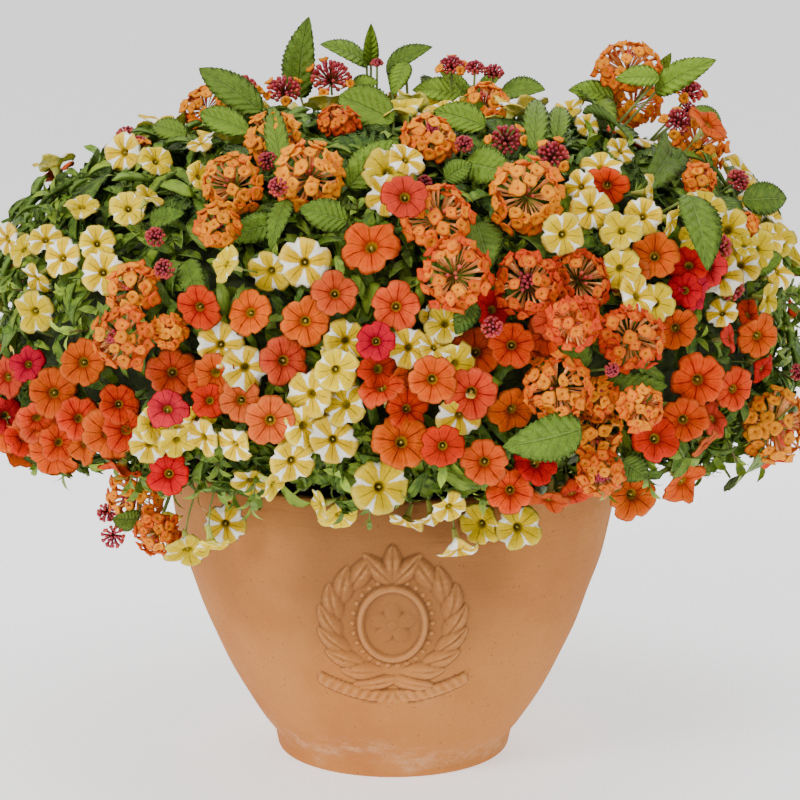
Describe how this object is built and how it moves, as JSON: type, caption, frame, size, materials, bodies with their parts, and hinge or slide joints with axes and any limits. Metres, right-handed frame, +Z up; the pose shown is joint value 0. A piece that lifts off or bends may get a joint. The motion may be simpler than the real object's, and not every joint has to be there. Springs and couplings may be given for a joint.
{
  "type": "potted lantana",
  "caption": "Bowl-shaped terracotta pot filled with flowering lantana and calibrachoa in a rounded mound; it stands on its foot and decorates a terrace or balcony.",
  "frame": {"origin": "centre of the pot's underside, on the plane that the pot stands on", "axes": "+Z up along the pot's axis, -Y towards the front with the raised relief, +X to the right of someone facing the front"},
  "size_m": [0.5365, 0.4484, 0.4565],
  "materials": {
    "pot": "matte",
    "soil": "matte",
    "foliage": "matte",
    "umbel": "matte",
    "petal_yellow": "matte",
    "petal_orange": "matte",
    "petal_red": "matte",
    "bud": "matte"
  },
  "bodies": {
    "root": {"pot": "pot", "soil": "soil", "spray_01": "foliage", "spray_02": "foliage", "spray_03": "foliage", "spray_04": "foliage", "spray_05": "foliage", "spray_06": "foliage", "spray_07": "foliage", "spray_08": "foliage", "spray_09": "foliage", "spray_10": "foliage", "spray_11": "foliage", "spray_12": "foliage", "spray_13": "foliage", "spray_14": "foliage", "spray_15": "foliage", "spray_16": "foliage", "spray_17": "foliage", "spray_18": "foliage", "spray_19": "foliage", "spray_20": "foliage", "spray_21": "foliage", "spray_22": "foliage", "spray_23": "foliage", "spray_24": "foliage", "umbel_01": "umbel", "umbel_02": "umbel", "umbel_03": "umbel", "umbel_04": "umbel", "umbel_05": "umbel", "umbel_06": "umbel", "umbel_07": "umbel", "umbel_08": "umbel", "umbel_09": "umbel", "umbel_10": "umbel", "umbel_11": "umbel", "umbel_12": "umbel", "umbel_13": "umbel", "umbel_14": "umbel", "umbel_15": "umbel", "umbel_16": "umbel", "umbel_17": "umbel", "umbel_18": "umbel", "umbel_19": "umbel", "umbel_20": "umbel", "umbel_21": "umbel", "umbel_22": "umbel", "umbel_23": "umbel", "umbel_24": "umbel", "umbel_25": "umbel", "umbel_26": "umbel", "umbel_27": "umbel", "umbel_28": "umbel", "umbel_29": "umbel", "umbel_30": "umbel", "umbel_31": "umbel", "umbel_32": "umbel"}
  },
  "joints": []
}
